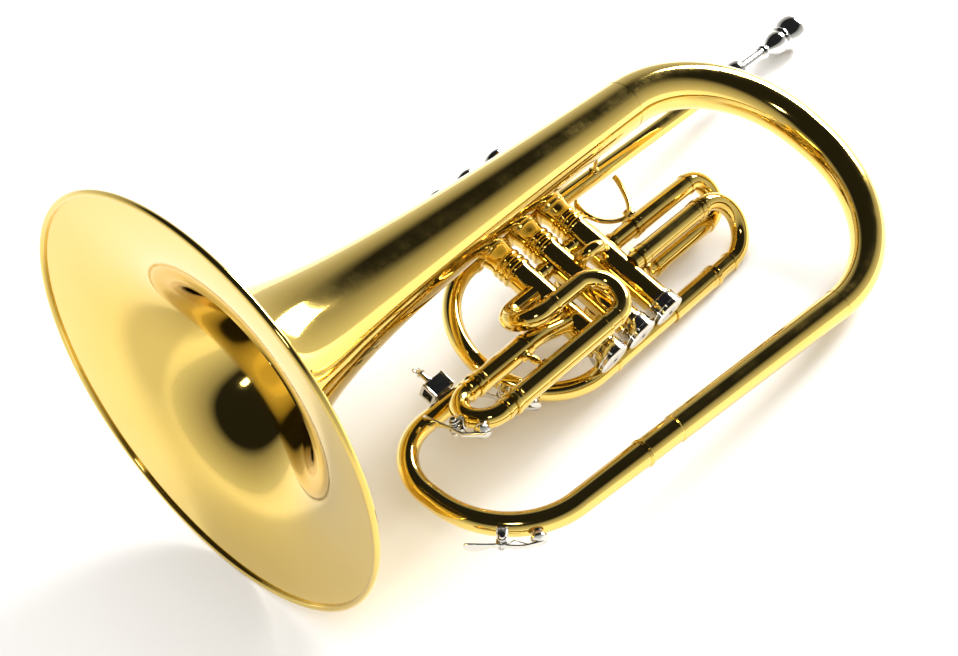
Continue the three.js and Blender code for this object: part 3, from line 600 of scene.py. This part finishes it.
def strut(a, b, radius_a, radius_b):
    """A turned brace between two tubes: flanged feet, a slim neck and a bead in the middle."""
    thin = 1.5
    way = (b - a).normalized()
    start = a + way * (radius_a - 0.2)
    length = (b - a).length - radius_a - radius_b + 0.4
    half = length / 2
    side = [(0, 0), (3.6, 0), (3.6, 0.7), (2.4, 1.5), (thin, 3.0)]
    middle = [(thin, half - 2.6), (thin + 0.9, half - 1.8), (thin + 0.6, half - 1.2),
              (thin + 1.2, half)]
    first = side + [p for p in middle if p[1] > 3.1]
    outline = first + [(r, length - h) for r, h in reversed(first[:-1])]
    return turned(outline, 28, start, way)


# ---- valves ----------------------------------------------------------------------------

def make_valve(index):
    number = index + 1
    x = VALVE_X[index]
    at = (x, 0, VALVE_Z)
    bead = []
    for h in (-35.5, -31, -26.5):
        bead += [(10.0, h - 1.5), (10.7, h - 1.1), (11.0, h), (10.7, h + 1.1), (10.0, h + 1.5)]
    casing = turned(closed([(8.7, -110), (9.9, -110), (9.9, -45), (9.7, -42), (9.7, -38.5)]
                           + bead + [(9.9, -22), (10.6, -19), (10.9, -15.2), (8.7, -15.2)]),
                    56, at, Y)
    brass(f"valve_casing_turned_{number}", casing, "horn", f"valve_casing_{number}")

    cap = [(2.4, -119), (6.2, -119), (6.5, -118.7), (6.8, -119), (9.6, -119), (10.6, -118.8),
           (11.4, -118), (11.4, -116.6), (11.0, -116.2), (11.0, -115.6), (11.4, -115.2),
           (11.4, -109.4), (11.1, -108.9), (10.7, -108.6), (10.7, -107.3), (10.25, -107),
           (10.25, -110.3), (8.6, -110.3), (8.0, -117.6), (2.4, -117.6)]
    shell = turned(closed(cap), 56, at, Y)
    vent = turned(closed([(1.7, -119.1), (2.9, -119.1), (3.1, -118.8), (3.1, -117.5),
                          (1.7, -117.5)]), 6, at, Y)
    nickel(f"bottom_valve_cap_{number}", joined(shell, vent), "horn", f"bottom_cap_{number}")

    top = [(10.3, -17), (11.0, -17), (11.4, -16.4), (11.4, -9.2), (11.1, -8.8), (11.1, -8.2),
           (11.4, -7.8), (11.3, -6.6), (10.4, -5.0), (8.8, -3.4), (7.6, -2.4), (6.0, -1.8),
           (5.3, -1.2), (5.2, 0.6), (4.9, 1), (2.65, 1), (2.65, -3.4), (8.7, -8), (8.7, -14.7),
           (10.3, -14.7)]
    placed(f"top_valve_cap_{number}", turned(closed(top), 56, at, Y), "horn", BRASS,
           turned_brass, f"top_cap_{number}")

    button = [(0, -22.6), (2.3, -22.6), (2.3, 30.5), (3.4, 31), (3.6, 32), (5.4, 32.6),
              (7.6, 33.2), (8.8, 34.4), (9.0, 35.6), (8.9, 36.8), (8.4, 37.9), (7.4, 38.6),
              (6.6, 38.5), (6.2, 38.0), (4.4, 37.5), (2, 37.3), (0, 37.2)]
    nickel(f"finger_button_turned_{number}", turned(button, 48, at, Y), f"piston_{number}",
           f"finger_button_{number}")


def make_knuckles():
    for name, i, y in (("upper_knuckle_1_2", 0, -44), ("upper_knuckle_2_3", 1, -46)):
        a, b = (VALVE_X[i] - 9.3, y, VALVE_Z), (VALVE_X[i + 1] + 9.3, y, VALVE_Z)
        tube = pipe(line(a, b), 5.2)
        middle = ring((Vector(a) + Vector(b)) / 2, X, 5, 5.9, 2.4)
        brass(f"{name}_tube", joined(tube, middle), "horn", name)
    x = VALVE_X
    loop = smooth_curve((x[1] + 4, -58, -27), (x[1] + 5, -58, -13), (x[0] - 7, -62, -13),
                        (x[0] - 6, -62, -27))
    brass("crossover_crook_tube", pipe(loop, 4.6), "horn", "crossover_crook")


make_bell()
make_bow()
make_mouthpiece()
make_leadpipe()
make_main_slide()
make_first_slide()
make_second_slide()
make_third_slide()
for valve in range(3):
    make_valve(valve)
make_knuckles()


# ---- water keys ------------------------------------------------------------------------

def polyline(points):
    """A chain of edges through (x, y) points, started from one vertex."""
    deselect()
    bpy.ops.mesh.primitive_plane_add(size=1)
    piece = bpy.context.object
    bpy.ops.object.mode_set(mode="EDIT")
    bpy.ops.mesh.select_all(action="SELECT")
    bpy.ops.mesh.merge(type="CENTER")
    bpy.ops.transform.translate(value=(points[0][0], points[0][1], 0))
    for (x0, y0), (x1, y1) in zip(points, points[1:]):
        bpy.ops.mesh.extrude_vertices_move(
            TRANSFORM_OT_translate={"value": (x1 - x0, y1 - y0, 0)})
    bpy.ops.object.mode_set(mode="OBJECT")
    return piece


def finish_with(piece, *modifiers):
    """Adds and applies modifiers, each given as (kind, settings)."""
    select_only(piece)
    for kind, settings in modifiers:
        modifier = piece.modifiers.new(kind.title(), kind)
        for key, value in settings.items():
            setattr(modifier, key, value)
        bpy.ops.object.modifier_apply(modifier=modifier.name)
    return piece


def strap(points, widths, thickness):
    """A bent strip of metal: a line of points drawn out sideways to a width at each point."""
    piece = polyline(points)
    edit(piece, (bpy.ops.mesh.extrude_region_move,
                 {"TRANSFORM_OT_translate": {"value": (0, 0, 1)}}))
    for vertex in piece.data.vertices:
        nearest = min(range(len(points)), key=lambda i: (points[i][0] - vertex.co.x) ** 2
                      + (points[i][1] - vertex.co.y) ** 2)
        vertex.co.z = widths[nearest] * (0.5 if vertex.co.z > 0.5 else -0.5)
    finish_with(piece, ("SOLIDIFY", {"thickness": thickness, "offset": 0}),
                ("BEVEL", {"width": thickness * 0.3, "segments": 2}),
                ("SUBSURF", {"levels": 2, "render_levels": 2}))
    edit(piece, (bpy.ops.mesh.normals_make_consistent, {"inside": False}))
    return shade(piece, 60)


def plate(outline, thickness, at_z=0, bevel=0.3):
    """A flat plate cut to an outline of (x, y) points, standing on edge about Z."""
    piece = polyline(closed(outline))
    edit(piece, (bpy.ops.mesh.remove_doubles, {"threshold": 0.002}),
         (bpy.ops.mesh.edge_face_add, {}),
         (bpy.ops.mesh.extrude_region_move,
          {"TRANSFORM_OT_translate": {"value": (0, 0, thickness)}}),
         (bpy.ops.mesh.select_all, {"action": "SELECT"}),
         (bpy.ops.transform.translate, {"value": (0, 0, at_z - thickness / 2)}),
         (bpy.ops.mesh.normals_make_consistent, {"inside": False}))
    finish_with(piece, ("BEVEL", {"width": bevel, "segments": 2}))
    return shade(piece, 35)


def with_material(piece, material):
    piece.data.materials.clear()
    piece.data.materials.append(material)
    return piece


KEY_PIVOT = 4.6                  # how far the hinge stands off the tube


def key_lever(surface, reach, drop, turn):
    """The moving part: finger spoon, hinge barrel, arched arm, pad cup and its cork."""
    pivot = surface + KEY_PIVOT
    normal = Vector((sin(turn), cos(turn), 0))
    pad = Vector((reach, surface - drop, 0))
    over = pad + normal * 6.6
    arm = strap([(over.x + 1.6, over.y - 1.2), (over.x, over.y), (reach * 0.62, pivot + 2.3),
                 (reach * 0.3, pivot + 2.5), (0, pivot + 2.2), (-4, pivot + 2.3),
                 (-8, pivot + 3.2), (-12, pivot + 4.2), (-16, pivot + 4.6),
                 (-19, pivot + 4.2), (-20.5, pivot + 3.4)],
                [2.6, 3.4, 3.0, 2.8, 3.4, 2.8, 4.4, 6.4, 7.0, 5.6, 2.6], 1.3)
    barrel = turned(closed([(1.0, -3.1), (2.1, -3.1), (2.4, -2.7), (2.4, 2.7), (2.1, 3.1),
                            (1.0, 3.1)]), 24, (0, pivot, 0), Z)
    cup = turned([(0, 3.6), (4.3, 3.6), (4.3, 2.9), (4.9, 2.8), (5.1, 3.4), (5.1, 4.6),
                  (4.5, 5.3), (2.6, 5.8), (1.9, 6.4), (0, 6.6)], 32, pad, normal)
    disc = with_material(turned([(0, 1.9), (4.1, 1.9), (4.3, 2.2), (4.3, 3.5), (0, 3.5)], 28,
                                pad, normal), cork)
    return joined(with_material(arm, nickel_plate), with_material(barrel, nickel_plate),
                  with_material(cup, nickel_plate), disc)


def key_saddle(tube_radius, surface, reach, drop, turn):
    """The fixed part: a curved base, two ears, the pivot screw, the spring and the nipple."""
    pivot = surface + KEY_PIVOT
    ear = [(-2.6, tube_radius * 0.86), (2.6, tube_radius * 0.86), (2.4, pivot)]
    ear += [(2.4 * cos(a), pivot + 2.4 * sin(a)) for a in (pi * i / 8 for i in range(1, 8))]
    ear += [(-2.4, pivot)]
    ears = [plate(ear, 1.3, side * 4.1) for side in (-1, 1)]
    base_arc = [(tube_radius + 0.55) * Vector((sin(a), cos(a), 0))
                for a in (radians(-42 + 12 * i) for i in range(8))]
    base = strap([(p.x, p.y) for p in base_arc], [6, 6.6, 6.8, 7, 7, 6.8, 6.6, 6], 1.1)
    base.data.transform(Matrix.Rotation(pi / 2, 4, "Y"))
    pin = turned([(0, -6.4), (1.5, -6.4), (1.7, -6), (1.7, -5.2), (0.95, -5), (0.95, 5),
                  (1.4, 5.1), (1.4, 5.9), (1.1, 6.2), (0, 6.2)], 20, (0, pivot, 0), Z)
    turns, coil = 4, []
    for i in range(turns * 12 + 1):
        a = 2 * pi * i / 12
        coil.append(Vector((2.9 * sin(a), pivot + 2.9 * cos(a), -1.6 + 3.2 * i / (turns * 12))))
    leg = [Vector((reach * 0.35, surface + 1.6, 1.6)), Vector((reach * 0.75, pivot - 0.6, 1.2))]
    spring = pipe(coil + leg, 0.4, 8)
    normal = Vector((sin(turn), cos(turn), 0))
    nipple = turned(closed([(1.3, -0.6), (3.4, -0.6), (3.2, 0.5), (2.5, 0.9), (2.3, 1.8),
                            (1.3, 1.8)]), 28, Vector((reach, surface - drop, 0)), normal)
    return joined(*ears, base, pin, spring, nipple)


def water_key(number, body, saddle_body, centre, u, v, radius, angle, tube_radius, turn):
    """A sprung water key on the outside of a bend; angle says where its saddle stands and
    turn how far round the bend its pad is."""
    out = u * cos(angle) + v * sin(angle)
    along = v * cos(angle) - u * sin(angle)
    side = along.cross(out)
    frame_here = Matrix.Translation(centre + out * radius) @ Matrix(
        (along, out, side)).transposed().to_4x4()
    outer = radius + tube_radius + 0.3
    surface = tube_radius + 0.3
    reach, drop = outer * sin(turn), outer * (1 - cos(turn))
    lever = key_lever(surface, reach, drop, turn)
    saddle = key_saddle(tube_radius, surface, reach, drop, turn)
    for piece in (lever, saddle):
        piece.data.transform(frame_here)
    nickel(f"water_key_lever_{number}", lever, body, f"water_key_{number}")
    nickel(f"water_key_bracket_{number}", saddle, saddle_body, f"water_key_saddle_{number}")


def make_water_keys():
    water_key(1, "water_key_1", "horn", front_point(FRONT_SIDE_X, FRONT_SIDE_DOWN), -X,
              FRONT_DOWN, FRONT_SIDE_RADIUS, radians(39), 7.3, radians(17))
    for number, body, x, a, b, angle, tube_radius, turn in (
            (2, "third_slide", THIRD_BEND, THIRD_INNER, THIRD_OUTER, 90, LEG, 40),
            (3, "horn", LEAD_BEND, (LEAD_Y, LEAD_Z), MAIN_LOWER, 112, TUBE, 18)):
        start, end = flat(x, a), flat(x, b)
        centre = (start + end) / 2
        water_key(number, f"water_key_{number}", body, centre, (start - centre).normalized(),
                  -X, (start - centre).length, radians(angle), tube_radius, radians(turn))


make_water_keys()


# ---- braces and lyre holder ------------------------------------------------------------

def make_lyre_holder():
    # A square box is a four-step turning, so its sizes are taken across the corners.
    x, half, width = 131, 8, 10.4
    floor = FRONT_Y + 7.2
    middle = Vector((x, floor + width / 2, FRONT_Z))
    corner, hollow = width / 2 ** 0.5, 7 / 2 ** 0.5
    lip = corner + 0.5
    box = turned(closed([(hollow, -half), (lip, -half), (lip, 1.1 - half),
                         (corner, 1.4 - half), (corner, half - 1.4), (lip, half - 1.1),
                         (lip, half), (hollow, half)]), 4, middle, X, (0, -1, 1))
    finish_with(box, ("BEVEL", {"width": 0.35, "segments": 3}))
    boss = turned(closed([(1.9, 4.9), (3.4, 4.9), (3.3, 6.6), (2.9, 7.0), (1.9, 7.0)]), 28,
                  middle, Y)
    foot = plate([(-6, -7.2), (6, -7.2), (5, -5), (-5, -5)], 4.6)
    foot.data.transform(Matrix.Translation(middle))
    nickel("lyre_clamp_box", joined(shade(box, 30), boss, foot), "horn", "lyre_holder")

    shaft = turned([(0, 2.3), (1.5, 2.3), (1.65, 2.8), (1.65, 12.2), (2.6, 12.6), (2.9, 13.4),
                    (2.4, 14.2), (1.9, 15.2), (0, 15.6)], 28, middle, Y)
    wing = [(-1.6, 13.2), (1.6, 13.2), (3.0, 14.4), (4.6, 15.2), (4.9, 16.8), (4.0, 18.2),
            (2.4, 18.0), (1.0, 16.6), (-1.0, 16.6), (-2.4, 18.0), (-4.0, 18.2), (-4.9, 16.8),
            (-4.6, 15.2), (-3.0, 14.4)]
    head = plate(wing, 1.5, 0, 0.5)
    head.data.transform(Matrix.Translation(middle) @ Matrix.Rotation(radians(35), 4, "Y"))
    nickel("lyre_thumbscrew", joined(shaft, head), "lyre_screw", "lyre_screw")


def make_braces():
    for name, x in (("bell_brace", 205), ("bow_brace", 345)):
        piece = strut(lead(x), Vector((x, 0, 0)), TUBE, flare(x) + WALL / 2)
        placed(f"{name}_turned", piece, "horn", BRASS, turned_brass, name)


make_lyre_holder()
make_braces()

# Pieces inside the valves keep their CAD shape.
for number in (1, 2, 3):
    for node, material in ((f"piston_{number}", nickel_plate),
                           (f"valve_spring_{number}", spring_wire)):
        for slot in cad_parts[node].material_slots:
            slot.material = material


# ---- floor, light and camera -----------------------------------------------------------

def make_stage():
    deselect()
    bpy.ops.mesh.primitive_plane_add(size=9, location=(0, 0, 0))
    floor = bpy.context.object
    floor.name = "studio_floor"
    material, tree, shader, place = new_material("matt_white_paper", Roughness=0.9)
    fibres = add_node(tree, "ShaderNodeTexNoise", None, {"Vector": place, "Scale": 3.0})
    tone = add_node(tree, "ShaderNodeMix", {"data_type": "RGBA"},
                    {"Factor": fibres.outputs["Fac"], "A": linear("#F6F4F1"),
                     "B": linear("#FBFAF8")})
    tree.links.new(tone.outputs["Result"], shader.inputs["Base Color"])
    floor.data.materials.append(material)


def add_softbox(name, place, target, size, power):
    light = bpy.data.lights.new(name, "AREA")
    light.shape = "RECTANGLE"
    light.size, light.size_y = size
    light.energy = power
    lamp = bpy.data.objects.new(name, light)
    bpy.context.collection.objects.link(lamp)
    way = Vector(target) - Vector(place)
    lamp.matrix_world = (Matrix.Translation(Vector(place))
                         @ way.to_track_quat("-Z", "Y").to_matrix().to_4x4())


def make_light():
    """A pale room that is bright low down and dark overhead, a large window beyond the bow, a
    small one that glints in the bell's throat, and a soft overhead sky that lights the floor
    but does not show in the metal."""
    world = bpy.data.worlds.new("soft_studio")
    bpy.context.scene.world = world
    world.use_nodes = True
    tree = world.node_tree
    background = tree.nodes["Background"]
    coordinates = add_node(tree, "ShaderNodeTexCoord")
    parts = add_node(tree, "ShaderNodeSeparateXYZ", None,
                     {"Vector": coordinates.outputs["Generated"]})
    ramp = add_node(tree, "ShaderNodeValToRGB", None, {"Fac": parts.outputs["Z"]})
    stops = ramp.color_ramp
    stops.elements[0].position, stops.elements[0].color = 0.0, (0.9, 0.9, 0.88, 1)
    stops.elements[1].position, stops.elements[1].color = 0.62, (0.02, 0.02, 0.022, 1)
    for position, colour in ((0.3, (0.6, 0.59, 0.56, 1)), (0.47, (0.4, 0.39, 0.36, 1))):
        stops.elements.new(position).color = colour
    tree.links.new(ramp.outputs["Color"], background.inputs["Color"])
    background.inputs["Strength"].default_value = 1.0
    add_softbox("bow_window", (2.2, 0.1, 1.0), (0, 0, 0.1), (1.0, 0.8), 110)
    add_softbox("throat_window", (-0.6, -0.95, 1.5), (-0.2, 0, 0.1), (0.26, 0.2), 2.5)
    sky = bpy.data.lights.new("overhead_sky", "SUN")
    sky.energy, sky.angle = 2.6, radians(80)
    dome = bpy.data.objects.new("overhead_sky", sky)
    bpy.context.collection.objects.link(dome)
    dome.visible_glossy = False


def make_camera():
    # The viewer stands to the left of the horn, above the bell.
    right = Vector((0.666, -0.7161, 0.2091))
    down = Vector((-0.5233, -0.6482, -0.5532))
    forward = Vector((0.5316, 0.259, -0.8064))
    place = Vector((-302.0, -283.5, 696.9))
    data = bpy.data.cameras.new("viewer")
    data.sensor_width, data.lens = 36, 56.4
    camera = bpy.data.objects.new("viewer", data)
    bpy.context.collection.objects.link(camera)
    turn = Matrix((right, -down, -forward)).transposed().to_4x4()
    camera.matrix_world = Matrix.Translation(LAID_DOWN @ place) @ HORN_TURN @ turn
    bpy.context.scene.camera = camera


make_stage()
make_light()
make_camera()
bpy.context.scene.view_settings.view_transform = "Standard"
